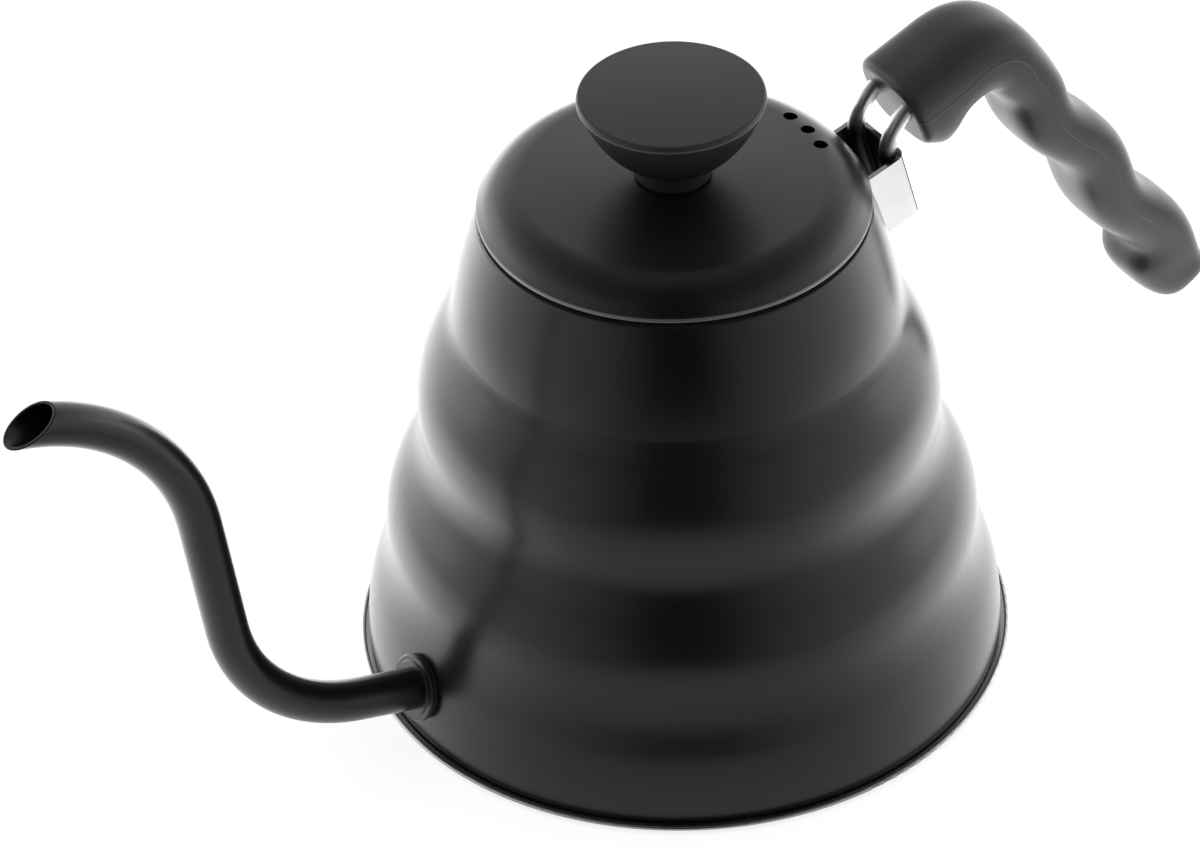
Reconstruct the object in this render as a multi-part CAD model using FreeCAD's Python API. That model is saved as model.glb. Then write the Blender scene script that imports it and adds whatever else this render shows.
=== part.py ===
import FreeCAD, Part
import math
import os

# Gooseneck kettle, millimetres, +Z up, resting on z = 0.
# The handle points along +X and the spout along -X.

# Sheet and fits
SHELL_WALL = 0.8
LID_CLEARANCE = 0.35
RING_CLEARANCE = 0.6

# Base plate: a flat rest, raised around its rim to a flange with a rolled edge
PLATE_RADIUS = 73.7
PLATE_SHEET = 0.7
PLATE_ROLL = 0.5
PLATE_LIFT = 1.05
PLATE_FLANGE = 4.5
PLATE_RAMP = 1.2
PLATE_GROOVE_INSET = 9.7
PLATE_GROOVE_WIDTH = 6.5
PLATE_GROOVE_RAMP = 1.6
PLATE_GROOVE_DEPTH = 0.7
FLANGE_TOP = PLATE_LIFT + PLATE_SHEET

# Vessel foot: the sheet turns in just above the flange and stands on it
FOOT_STEP = 1.95
FOOT_GAP = 0.55
FOOT_TURN_IN = 1.0
FOOT_HEIGHT = FLANGE_TOP + FOOT_GAP

# Vessel outline: each tier narrows, rises and bulges between two waists
FOOT_TAPER = 6.2
FOOT_RISE = 25.3
FOOT_BULGE = 1.95
LOW_TAPER = 9.9
LOW_RISE = 26.9
LOW_BULGE = 4.35
MID_TAPER = 5.75
MID_RISE = 33.0
MID_BULGE = 4.8
TOP_TAPER = 6.5
TOP_RISE = 26.6
TOP_BULGE = 0.85
WAIST_LOW_BLEND = 32.0
WAIST_MID_BLEND = 18.0
WAIST_TOP_BLEND = 10.0
SHOULDER_RADIUS = PLATE_RADIUS - FOOT_STEP - FOOT_TAPER - LOW_TAPER - MID_TAPER - TOP_TAPER
SHOULDER_HEIGHT = FOOT_HEIGHT + FOOT_RISE + LOW_RISE + MID_RISE + TOP_RISE

# Mouth: the sheet turns in to a flat seat and down into a short throat
SEAT_RISE = 2.1
SEAT_WIDTH = 4.6
SEAT_BEND = 2.4
SEAT_HEIGHT = SHOULDER_HEIGHT + SEAT_RISE
THROAT_RADIUS = SHOULDER_RADIUS - SEAT_WIDTH
THROAT_BEND = 1.4
THROAT_DEPTH = 4.0

# Spout tube centreline: straight, rising bend, straight, falling bend
SPOUT_OUTER = 9.5
SPOUT_WALL = 0.7
SPOUT_ROOT_HEIGHT = 14.3
SPOUT_ROOT_TILT = 15.0
SPOUT_INSIDE = 2.6
SPOUT_RUN = 15.6
SPOUT_RISE_BEND = 42.3
SPOUT_RISE_TILT = 82.2
SPOUT_RISE = 30.9
SPOUT_TIP_BEND = 52.2
SPOUT_TIP_TILT = 16.6
SPOUT_TIP_CUT = 27.2
SPOUT_TIP_RUN = 12.0
SPOUT_LIP_ROUND = 0.25

# Spout fixing: rings of these widths around the tube
SEAL_WIDTH = 2.5
SEAL_THICKNESS = 0.6
COLLAR_WIDTH = 2.9
COLLAR_FLANGE = 0.9
COLLAR_STEP_WIDTH = 1.7
COLLAR_STEP = 0.4
COLLAR_CHAMFER = 0.35
LOCK_RING_WIDTH = 2.5
LOCK_RING_THICKNESS = 1.2

# Handle bracket: a folded channel, open to the vessel
BRACKET_TILT = 15.3
BRACKET_STAND_OFF = 11.5
BRACKET_BELOW_SHOULDER = 1.4
BRACKET_WIDTH = 18.8
BRACKET_HEIGHT = 17.0
BRACKET_SHEET = 1.2
BRACKET_FOLD = 2.6
BRACKET_REACH = 16.0
BRACKET_TOP_X = SHOULDER_RADIUS + BRACKET_STAND_OFF
BRACKET_TOP_Z = SHOULDER_HEIGHT - BRACKET_BELOW_SHOULDER

# Handle rods
ROD_DIAMETER = 3.9
ROD_SIDE_GAP = 0.28
ROD_SPACING = BRACKET_WIDTH - 2 * (BRACKET_SHEET + ROD_SIDE_GAP) - ROD_DIAMETER
ROD_FOOT_GAP = 3.0
ROD_LEAVE = 2.5
ROD_BEND = 10.5
ROD_TILT = 26.0
ROD_SOCKET = 15.0
TIE_DIAMETER = 3.2

# Grip centreline in the XZ plane
GRIP_FORWARD = 2.9
GRIP_LIFT = 7.1
GRIP_TILT = 20.5
GRIP_FRONT = 17.0
GRIP_BEND = 11.0
GRIP_DROP = 56.5
GRIP_LENGTH = 94.0
GRIP_WAVE = 1.55
GRIP_WAVE_LENGTH = 35.5
GRIP_WAVE_PHASE = 54.5
GRIP_WAVE_FADE = 12.6

# Grip section
GRIP_SIDE_WALL = 3.28
GRIP_HALF_WIDTH = (ROD_SPACING + ROD_DIAMETER) / 2 + GRIP_SIDE_WALL
GRIP_FRONT_ABOVE = 9.3
GRIP_ABOVE = 6.65
GRIP_FRONT_BELOW = 8.2
GRIP_BELOW = 7.75
GRIP_THIN_FROM = 17.5
GRIP_THIN_TO = 38.9
GRIP_SQUARENESS = 3.0
GRIP_CHIN = 5.2
GRIP_CHIN_AT = 6.0
GRIP_CHIN_SPREAD = 4.85
GRIP_HEEL = 3.45
GRIP_HEEL_FROM_END = 10.5
GRIP_HEEL_SPREAD = 6.3
GRIP_TAIL = 4.1
GRIP_TAIL_CAP = 84.0
GRIP_FRONT_ROUND = 2.2
GRIP_LEAD = 6.0
GRIP_SECTIONS = 34
GRIP_CAP_SECTIONS = 6
GRIP_SECTION_POINTS = 24
SEAM_RISE = 2.05
SEAM_RISE_AT = 25.9
SEAM_RISE_SPREAD = 8.2
SEAM_LEAD = 12.0
SEAM_POINTS = 60

# Knob and its fixing
KNOB_RADIUS = 20.35
KNOB_LIFT = 19.85
KNOB_EDGE = 0.75
KNOB_EDGE_UNDER = 50.0
KNOB_CROWN = 0.7
KNOB_FLAT_RADIUS = 3.0
KNOB_BOWL = 1.9
KNOB_NECK_RADIUS = 8.4
KNOB_NECK_HEIGHT = 3.2
SPACER_INSET = 0.5
SPACER_THICKNESS = 0.6
SCREW_DIAMETER = 4.0
SCREW_HEAD_WIDTH = 2.0
SCREW_HEAD_HEIGHT = 2.4
SCREW_RECESS_DEPTH = 1.4
SCREW_RECESS_WIDTH = 0.9
SCREW_RECESS_LENGTH = 4.4
INSERT_WALL = 1.1
INSERT_LENGTH = 8.0
WASHER_WIDTH = 4.0
WASHER_THICKNESS = 0.8

# Lid
LID_INSET = 0.45
LID_RADIUS = SHOULDER_RADIUS - LID_INSET
LID_SHEET = 0.8
LID_EDGE = 0.5
LID_SLOPE_WIDTH = 4.45
LID_SLOPE_RISE = 7.35
LID_BREAK_RADIUS = LID_RADIUS - LID_SLOPE_WIDTH
LID_BREAK_HEIGHT = SEAT_HEIGHT + LID_SLOPE_RISE
LID_BREAK_BLEND = 11.0
LID_BREAK_LEAN = 0.55
LID_CROWN_RISE = 1.55
LID_CROWN_HEIGHT = LID_BREAK_HEIGHT + LID_CROWN_RISE
LID_FLAT_MARGIN = 1.1
LID_FLAT_RADIUS = KNOB_NECK_RADIUS + LID_FLAT_MARGIN
LID_RING_DEPTH = 8.0
LID_RING_SHEET = 0.8
VENT_DIAMETER = 3.2
VENT_INSET = 9.05
VENT_TURN = -3.3
VENT_PITCH = 10.75
VENT_COUNT = 3
KNOB_RIM_HEIGHT = LID_CROWN_HEIGHT + KNOB_LIFT

ORIGIN = FreeCAD.Vector(0, 0, 0)
Y_AXIS = FreeCAD.Vector(0, 1, 0)
Z_AXIS = FreeCAD.Vector(0, 0, 1)

# Size of the cutting blocks, and how near an edge lies to count as on a plane
BLOCK = 400.0
TOUCH = 1e-4


def vec(x, z, y=0.0):
    return FreeCAD.Vector(x, y, z)


def heading(degrees):
    """Unit vector in XZ at this angle above +X."""
    a = math.radians(degrees)
    return vec(math.cos(a), math.sin(a))


def line(a, b):
    return Part.LineSegment(a, b).toShape()


def arc_on(centre, radius, a, b):
    """Shorter arc from a to b on a circle in XZ."""
    mid = (a - centre).normalize() + (b - centre).normalize()
    return Part.Arc(a, centre + mid.normalize() * radius, b).toShape()


def turned(edges):
    """Solid of revolution about Z from a closed loop in XZ."""
    face = Part.Face(Part.Wire(edges))
    return face.revolve(ORIGIN, Z_AXIS, 360)


def cylinder(radius, length, base, axis):
    return Part.makeCylinder(radius, length, base, axis)


def tube(outer, inner, length, base, axis):
    return cylinder(outer, length, base, axis).cut(cylinder(inner, length, base, axis))


def bulge_circle(low, high, bulge):
    """Centre and radius of the tier arc through two points with this bulge."""
    chord = high - low
    half = chord.Length / 2
    out = vec(chord.z, -chord.x).normalize()
    radius = (half * half + bulge * bulge) / (2 * bulge)
    return (low + high) * 0.5 - out * (radius - bulge), radius


def outer_blend(c1, r1, c2, r2, blend):
    """Centre of the hollow blend that touches two circles from outside."""
    a = r1 + blend
    b = r2 + blend
    gap = c2 - c1
    d = gap.Length
    along = (a * a - b * b + d * d) / (2 * d)
    across = math.sqrt(a * a - along * along)
    return c1 + gap * (along / d) + vec(gap.z, -gap.x).normalize() * across


def toward(centre, other, radius):
    return centre + (other - centre).normalize() * radius


def circle_at(centre, radius, z):
    return vec(centre.x + math.sqrt(radius ** 2 - (z - centre.z) ** 2), z)


TIER_STEPS = [
    vec(-FOOT_TAPER, FOOT_RISE),
    vec(-LOW_TAPER, LOW_RISE),
    vec(-MID_TAPER, MID_RISE),
    vec(-TOP_TAPER, TOP_RISE),
]
TIER_POINTS = [vec(PLATE_RADIUS - FOOT_STEP, FOOT_HEIGHT)]
for tier_step in TIER_STEPS:
    TIER_POINTS.append(TIER_POINTS[-1] + tier_step)
TIER_BULGES = [FOOT_BULGE, LOW_BULGE, MID_BULGE, TOP_BULGE]
WAIST_BLENDS = [WAIST_LOW_BLEND, WAIST_MID_BLEND, WAIST_TOP_BLEND]
TIERS = [bulge_circle(TIER_POINTS[i], TIER_POINTS[i + 1], TIER_BULGES[i]) for i in range(4)]
WAISTS = [outer_blend(*TIERS[i], *TIERS[i + 1], WAIST_BLENDS[i]) for i in range(3)]


def vessel_side(inset, foot_z):
    """Tier and mouth edges, foot to throat, set in from the outside."""
    start = circle_at(TIERS[0][0], TIERS[0][1] - inset, foot_z)
    edges = []
    for i in range(3):
        centre, radius = TIERS[i]
        nxt, nxt_radius = TIERS[i + 1]
        blend = WAIST_BLENDS[i] + inset
        a = toward(centre, WAISTS[i], radius - inset)
        b = toward(nxt, WAISTS[i], nxt_radius - inset)
        edges.append(arc_on(centre, radius - inset, start, a))
        edges.append(arc_on(WAISTS[i], blend, a, b))
        start = b
    centre, radius = TIERS[3]
    bend = circle_at(centre, radius - SEAT_BEND, SEAT_HEIGHT - SEAT_BEND)
    a = toward(centre, bend, radius - inset)
    b = vec(bend.x, SEAT_HEIGHT - inset)
    edges.append(arc_on(centre, radius - inset, start, a))
    edges.append(arc_on(bend, SEAT_BEND - inset, a, b))
    throat = vec(THROAT_RADIUS + THROAT_BEND, SEAT_HEIGHT - THROAT_BEND)
    c = vec(throat.x, SEAT_HEIGHT - inset)
    d = vec(THROAT_RADIUS + inset, throat.z)
    e = vec(d.x, SEAT_HEIGHT - THROAT_DEPTH)
    edges.append(line(b, c))
    edges.append(arc_on(throat, THROAT_BEND - inset, c, d))
    edges.append(line(d, e))
    return edges


def ends(edges):
    return edges[0].firstVertex(True).Point, edges[-1].lastVertex(True).Point


def vessel_volume(inset, foot_z):
    """Everything inside the vessel's side, closed straight across the throat."""
    edges = vessel_side(inset, foot_z)
    first, last = ends(edges)
    top = vec(0, last.z)
    foot = vec(0, first.z)
    return turned(edges + [line(last, top), line(top, foot), line(foot, first)])


def make_body_shell():
    outside = vessel_side(0, FOOT_HEIGHT)
    inside = vessel_side(SHELL_WALL, FOOT_HEIGHT + SHELL_WALL)
    out_foot, out_lip = ends(outside)
    in_foot, in_lip = ends(inside)
    neck = out_foot.x - FOOT_TURN_IN
    neck_in = neck - SHELL_WALL
    foot = [
        out_foot,
        vec(neck, out_foot.z),
        vec(neck, FLANGE_TOP),
        vec(neck_in, FLANGE_TOP),
        vec(neck_in, in_foot.z),
        in_foot,
    ]
    closing = [line(p, q) for p, q in zip(foot, foot[1:])] + [line(out_lip, in_lip)]
    return turned(Part.sortEdges(outside + inside + closing)[0])


def make_base_plate():
    """Sheet plate with one shallow stiffening groove pressed up into its rest."""
    roll = vec(PLATE_RADIUS - PLATE_ROLL, PLATE_LIFT + PLATE_ROLL)
    roll_low = vec(roll.x, PLATE_LIFT)
    roll_out = vec(PLATE_RADIUS, roll.z)
    roll_top = vec(roll.x, roll.z + PLATE_ROLL)
    roll_in = vec(roll.x - math.sqrt(PLATE_ROLL ** 2 - (FLANGE_TOP - roll.z) ** 2), FLANGE_TOP)
    flange_in = PLATE_RADIUS - PLATE_FLANGE
    groove_outer = PLATE_RADIUS - PLATE_GROOVE_INSET
    groove_inner = groove_outer - PLATE_GROOVE_WIDTH
    pressed = [
        (groove_inner, 0),
        (groove_inner + PLATE_GROOVE_RAMP, PLATE_GROOVE_DEPTH),
        (groove_outer - PLATE_GROOVE_RAMP, PLATE_GROOVE_DEPTH),
        (groove_outer, 0),
        (flange_in - PLATE_RAMP, 0),
        (flange_in, PLATE_LIFT),
    ]
    under = [ORIGIN] + [vec(r, z) for r, z in pressed] + [roll_low]
    over = [roll_in] + [vec(r, z + PLATE_SHEET) for r, z in reversed(pressed)]
    over += [vec(0, PLATE_SHEET), ORIGIN]
    edges = [line(p, q) for p, q in zip(under, under[1:])]
    edges.append(arc_on(roll, PLATE_ROLL, roll_low, roll_out))
    edges.append(arc_on(roll, PLATE_ROLL, roll_out, roll_top))
    edges.append(arc_on(roll, PLATE_ROLL, roll_top, roll_in))
    edges += [line(p, q) for p, q in zip(over, over[1:])]
    return turned(edges)


# Spout frame: the root axis leaves the vessel's side square to it
ROOT_POINT = circle_at(*TIERS[0], SPOUT_ROOT_HEIGHT)
ROOT = vec(-ROOT_POINT.x, SPOUT_ROOT_HEIGHT)
ROOT_AXIS = heading(180 - SPOUT_ROOT_TILT)


def bend_end(start, from_tilt, to_tilt, radius):
    """Middle and end of a bend that starts at this tilt, heading along -X."""
    turn = 1 if to_tilt > from_tilt else -1
    centre = start + heading(90 - from_tilt) * (radius * turn)
    swing = heading(-90 - (from_tilt + to_tilt) / 2)
    mid = centre + swing * (radius * turn)
    end = centre + heading(-90 - to_tilt) * (radius * turn)
    return mid, end


def spout_path():
    a = ROOT - ROOT_AXIS * (SHELL_WALL + SPOUT_INSIDE)
    b = ROOT + ROOT_AXIS * SPOUT_RUN
    m1, c = bend_end(b, SPOUT_ROOT_TILT, SPOUT_RISE_TILT, SPOUT_RISE_BEND)
    d = c + heading(180 - SPOUT_RISE_TILT) * SPOUT_RISE
    m2, e = bend_end(d, SPOUT_RISE_TILT, SPOUT_TIP_TILT, SPOUT_TIP_BEND)
    f = e + heading(180 - SPOUT_TIP_TILT) * SPOUT_TIP_RUN
    edges = [line(a, b), Part.Arc(b, m1, c).toShape(), line(c, d)]
    edges += [Part.Arc(d, m2, e).toShape(), line(e, f)]
    return Part.Wire(edges), a, e


def swept_round(path, start, axis, radius):
    ring = Part.Wire(Part.makeCircle(radius, start, axis))
    return path.makePipeShell([ring], True, True)


def make_spout_tube():
    path, start, tip = spout_path()
    outer = swept_round(path, start, ROOT_AXIS, SPOUT_OUTER / 2)
    inner = swept_round(path, start, ROOT_AXIS, SPOUT_OUTER / 2 - SPOUT_WALL)
    cut_dir = heading(90 + SPOUT_TIP_CUT)
    block = Part.makeBox(BLOCK, BLOCK, BLOCK, vec(-BLOCK / 2, 0, -BLOCK / 2))
    block.Placement = FreeCAD.Placement(
        tip, FreeCAD.Rotation(Z_AXIS, cut_dir)
    ).multiply(block.Placement)
    pipe = outer.cut(inner).cut(block)
    lip = [e for e in pipe.Edges if on_plane(e, tip, cut_dir)]
    return pipe.makeFillet(SPOUT_LIP_ROUND, lip)


def on_plane(edge, point, normal):
    return all(abs((v.Point - point).dot(normal)) < TOUCH for v in edge.Vertexes)


def chamfered(radius, length, base, axis):
    """Cylinder with the collar's chamfer around its far end."""
    solid = cylinder(radius, length, base, axis)
    rim = [e for e in solid.Edges if on_plane(e, base + axis * length, axis)]
    return solid.makeChamfer(COLLAR_CHAMFER, rim)


def make_spout_fixing():
    outside = vessel_volume(0, FOOT_HEIGHT)
    inside = vessel_volume(SHELL_WALL, FOOT_HEIGHT)
    bore = SPOUT_OUTER / 2
    seal_radius = bore + SEAL_WIDTH
    back = ROOT - ROOT_AXIS * seal_radius
    seal = tube(seal_radius, bore, seal_radius + SEAL_THICKNESS, back, ROOT_AXIS).cut(outside)
    seat = ROOT + ROOT_AXIS * SEAL_THICKNESS
    reach = COLLAR_FLANGE + COLLAR_STEP
    flange = chamfered(bore + COLLAR_WIDTH, COLLAR_FLANGE, seat, ROOT_AXIS)
    step = chamfered(bore + COLLAR_STEP_WIDTH, reach, seat, ROOT_AXIS)
    collar = flange.fuse(step).removeSplitter().cut(cylinder(bore, reach, seat, ROOT_AXIS))
    ring_radius = bore + LOCK_RING_WIDTH
    ring_back = ROOT - ROOT_AXIS * (SHELL_WALL + LOCK_RING_THICKNESS)
    lock_ring = tube(ring_radius, bore, ring_radius, ring_back, ROOT_AXIS).common(inside)
    return seal, collar, lock_ring


# Bracket frame: down along the web, and out square to it
WEB_DOWN = heading(BRACKET_TILT - 90)
WEB_OUT = heading(BRACKET_TILT)
WEB_TOP = vec(BRACKET_TOP_X, BRACKET_TOP_Z)


def channel_wire(half, fold, depth, set_in):
    """U outline of the channel, folds rounded, open end toward the vessel."""
    web = WEB_TOP - WEB_OUT * set_in
    back = WEB_TOP - WEB_OUT * depth

    def at(base, y):
        return base + Y_AXIS * y

    near = web - WEB_OUT * fold
    slope = fold * math.sqrt(0.5)
    corner = near + WEB_OUT * slope
    edges = [
        line(at(back, -half), at(near, -half)),
        Part.Arc(at(near, -half), at(corner, fold - half - slope), at(web, fold - half)).toShape(),
        line(at(web, fold - half), at(web, half - fold)),
        Part.Arc(at(web, half - fold), at(corner, half - fold + slope), at(near, half)).toShape(),
        line(at(near, half), at(back, half)),
        line(at(back, half), at(back, -half)),
    ]
    return Part.Face(Part.Wire(edges))


def make_handle_bracket():
    half = BRACKET_WIDTH / 2
    outer = channel_wire(half, BRACKET_FOLD, BRACKET_REACH, 0)
    inner = channel_wire(
        half - BRACKET_SHEET, BRACKET_FOLD - BRACKET_SHEET, BRACKET_REACH, BRACKET_SHEET
    )
    channel = outer.cut(inner).extrude(WEB_DOWN * BRACKET_HEIGHT)
    return channel.cut(vessel_volume(0, FOOT_HEIGHT))


def rod_path():
    """Rod centreline at Y = 0: up the web, over the bend, into the grip."""
    line_off = WEB_OUT * (BRACKET_SHEET + ROD_DIAMETER / 2)
    foot = WEB_TOP - line_off + WEB_DOWN * (BRACKET_HEIGHT - ROD_FOOT_GAP)
    leave = WEB_TOP - line_off + WEB_DOWN * ROD_LEAVE
    centre = leave + WEB_OUT * ROD_BEND
    start_angle = 180 + BRACKET_TILT
    end_angle = 90 + ROD_TILT
    mid = centre + heading((start_angle + end_angle) / 2) * ROD_BEND
    over = centre + heading(end_angle) * ROD_BEND
    end = over + heading(ROD_TILT) * ROD_SOCKET
    return foot, leave, mid, over, end


def make_rod(side):
    shift = Y_AXIS * (side * ROD_SPACING / 2)
    foot, leave, mid, over, end = [p + shift for p in rod_path()]
    path = Part.Wire([line(foot, leave), Part.Arc(leave, mid, over).toShape(), line(over, end)])
    return swept_round(path, foot, WEB_DOWN * -1, ROD_DIAMETER / 2)


def make_rod_tie():
    """Cross bar between the two rods, just short of their ends inside the grip."""
    end = rod_path()[-1] - heading(ROD_TILT) * TIE_DIAMETER
    bar = cylinder(TIE_DIAMETER / 2, ROD_SPACING, end - Y_AXIS * (ROD_SPACING / 2), Y_AXIS)
    return bar.cut(make_rod(-1)).cut(make_rod(1))


GRIP_BEND_TURN = math.radians(GRIP_TILT + GRIP_DROP)
GRIP_TOTAL = GRIP_FRONT + GRIP_BEND * GRIP_BEND_TURN + GRIP_LENGTH


def grip_point(s):
    """Centre and travel angle in degrees at this length along the grip."""
    start = WEB_TOP + vec(GRIP_FORWARD, GRIP_LIFT)
    front = heading(GRIP_TILT)
    if s <= GRIP_FRONT:
        return start + front * s, GRIP_TILT
    bend_start = start + front * GRIP_FRONT
    centre = bend_start + heading(GRIP_TILT - 90) * GRIP_BEND
    turned_by = (s - GRIP_FRONT) / GRIP_BEND
    if turned_by <= GRIP_BEND_TURN:
        angle = GRIP_TILT - math.degrees(turned_by)
        return centre + heading(angle + 90) * GRIP_BEND, angle
    along = s - GRIP_FRONT - GRIP_BEND * GRIP_BEND_TURN
    axis_start = centre + heading(90 - GRIP_DROP) * GRIP_BEND
    fade = min(along / GRIP_WAVE_FADE, 1.0)
    swing = 2 * math.pi / GRIP_WAVE_LENGTH
    phase = swing * along + math.radians(GRIP_WAVE_PHASE)
    lift = GRIP_WAVE * fade * math.sin(phase)
    slope = GRIP_WAVE * fade * swing * math.cos(phase)
    point = axis_start + heading(-GRIP_DROP) * along + heading(90 - GRIP_DROP) * lift
    return point, math.degrees(math.atan(slope)) - GRIP_DROP


def swell(distance, spread):
    """A smooth hump: 1 at its middle, falling to nothing within a few spreads."""
    return math.exp(-((distance / spread) ** 2))


def signed_power(value, power):
    return math.copysign(abs(value) ** power, value)


def grip_section(s, scale):
    centre, angle = grip_point(s)
    out = heading(angle + 90)
    blend = min(max((s - GRIP_THIN_FROM) / (GRIP_THIN_TO - GRIP_THIN_FROM), 0.0), 1.0)
    chin = GRIP_CHIN * swell(s - GRIP_CHIN_AT, GRIP_CHIN_SPREAD)
    heel = GRIP_HEEL * swell(GRIP_TOTAL - GRIP_HEEL_FROM_END - s, GRIP_HEEL_SPREAD)
    above = GRIP_FRONT_ABOVE + (GRIP_ABOVE - GRIP_FRONT_ABOVE) * blend
    below = GRIP_FRONT_BELOW + (GRIP_BELOW - GRIP_FRONT_BELOW) * blend + chin + heel
    power = 2 / GRIP_SQUARENESS
    points = []
    for i in range(GRIP_SECTION_POINTS):
        a = 2 * math.pi * i / GRIP_SECTION_POINTS + math.pi / 2
        across = GRIP_HALF_WIDTH * scale * signed_power(math.cos(a), power)
        rise = signed_power(math.sin(a), power)
        depth = above if rise > 0 else below
        points.append(centre + out * (rise * depth * scale) + Y_AXIS * across)
    curve = Part.BSplineCurve()
    curve.interpolate(Points=points, PeriodicFlag=True)
    return Part.Wire(curve.toShape())


def grip_stations():
    body_end = GRIP_TOTAL - GRIP_TAIL
    step = (body_end + GRIP_LEAD) / GRIP_SECTIONS
    stations = [(step * i - GRIP_LEAD, 1.0) for i in range(GRIP_SECTIONS)]
    for i in range(GRIP_CAP_SECTIONS):
        a = math.radians(GRIP_TAIL_CAP * i / (GRIP_CAP_SECTIONS - 1))
        stations.append((body_end + GRIP_TAIL * math.sin(a), math.cos(a)))
    return stations


def seam_point(s):
    """The parting line: the grip's centreline, raised over the bend."""
    centre, angle = grip_point(s)
    return centre + heading(angle + 90) * (SEAM_RISE * swell(s - SEAM_RISE_AT, SEAM_RISE_SPREAD))


def make_grip():
    """Upper and lower halves, parted along the seam."""
    blank = Part.makeLoft([grip_section(s, k) for s, k in grip_stations()], True, False)
    start, angle = grip_point(0)
    front = heading(angle)
    block = Part.makeBox(BLOCK, BLOCK, BLOCK, vec(-BLOCK / 2, 0, -BLOCK / 2))
    block.Placement = FreeCAD.Placement(start, FreeCAD.Rotation(Z_AXIS, front * -1)).multiply(
        block.Placement
    )
    blank = blank.cut(block)
    rim = [e for e in blank.Edges if on_plane(e, start, front)]
    blank = blank.makeFillet(GRIP_FRONT_ROUND, rim)
    for side in (-1, 1):
        blank = blank.cut(make_rod(side))
    blank = blank.cut(make_rod_tie())
    seam = Part.BSplineCurve()
    step = (GRIP_TOTAL + 2 * SEAM_LEAD) / SEAM_POINTS
    seam.interpolate([seam_point(step * i - SEAM_LEAD) for i in range(SEAM_POINTS + 1)])
    first = seam.value(seam.FirstParameter)
    last = seam.value(seam.LastParameter)
    low = vec(first.x, last.z - GRIP_LENGTH)
    far = vec(last.x, low.z)
    edges = [seam.toShape(), line(last, far), line(far, low), line(low, first)]
    below = Part.Face(Part.Wire(edges))
    below.translate(Y_AXIS * -BLOCK / 2)
    below = below.extrude(Y_AXIS * BLOCK)
    return blank.cut(below), blank.common(below)


RIM_UNDER = SEAT_HEIGHT + LID_CLEARANCE
CROWN_UNDER = LID_CROWN_HEIGHT - LID_SHEET


def lid_side(inset):
    """Crown flat and break of the lid's outline, set in below the outside."""
    flat = vec(LID_FLAT_RADIUS, LID_CROWN_HEIGHT - inset)
    brk = vec(LID_BREAK_RADIUS - inset * LID_BREAK_LEAN, LID_BREAK_HEIGHT - inset)
    return flat, brk


def touch_point(point, centre, radius):
    """Where the line from a point above touches a circle on its outer side."""
    gap = point - centre
    lean = math.degrees(math.atan2(gap.z, gap.x) - math.acos(radius / gap.Length))
    return centre + heading(lean) * radius


def make_lid_shell():
    flat, brk = lid_side(0)
    flat_in, brk_in = lid_side(LID_SHEET)
    edge = vec(LID_RADIUS - LID_EDGE, RIM_UNDER + LID_EDGE)
    rim = touch_point(brk, edge, LID_EDGE)
    side = vec(LID_RADIUS, edge.z)
    low = vec(edge.x, RIM_UNDER)
    seat = vec(edge.x - LID_EDGE, RIM_UNDER)
    top = vec(0, flat.z)
    under = vec(0, flat_in.z)
    edges = [
        line(top, flat),
        line(flat, brk),
        line(brk, rim),
        arc_on(edge, LID_EDGE, rim, side),
        arc_on(edge, LID_EDGE, side, low),
        line(low, seat),
        line(seat, brk_in),
        line(brk_in, flat_in),
        line(flat_in, under),
        line(under, top),
    ]
    lid = turned(edges)
    for corner, blend in ((brk, LID_BREAK_BLEND), (brk_in, LID_BREAK_BLEND - LID_SHEET)):
        lid = lid.makeFillet(blend, [e for e in lid.Edges if ring_at(e, corner.x)])
    lid = lid.cut(cylinder(SCREW_DIAMETER / 2, BLOCK, ORIGIN, Z_AXIS))
    for i in range(VENT_COUNT):
        turn = math.radians(VENT_TURN + VENT_PITCH * (i - (VENT_COUNT - 1) / 2))
        spot = FreeCAD.Vector(math.cos(turn), math.sin(turn), 0) * (LID_RADIUS - VENT_INSET)
        lid = lid.cut(cylinder(VENT_DIAMETER / 2, BLOCK, spot, Z_AXIS))
    return lid


def ring_at(edge, radius):
    circle = edge.Closed and edge.Curve.TypeId == "Part::GeomCircle"
    return circle and abs(edge.Curve.Radius - radius) < TOUCH


def make_lid_ring(lid):
    outer = THROAT_RADIUS - RING_CLEARANCE
    bottom = SEAT_HEIGHT - LID_RING_DEPTH
    ring = tube(outer, outer - LID_RING_SHEET, LID_CROWN_HEIGHT - bottom, vec(0, bottom), Z_AXIS)
    pieces = ring.cut(lid).Solids
    return min(pieces, key=lambda piece: piece.BoundBox.ZMin)


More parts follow.
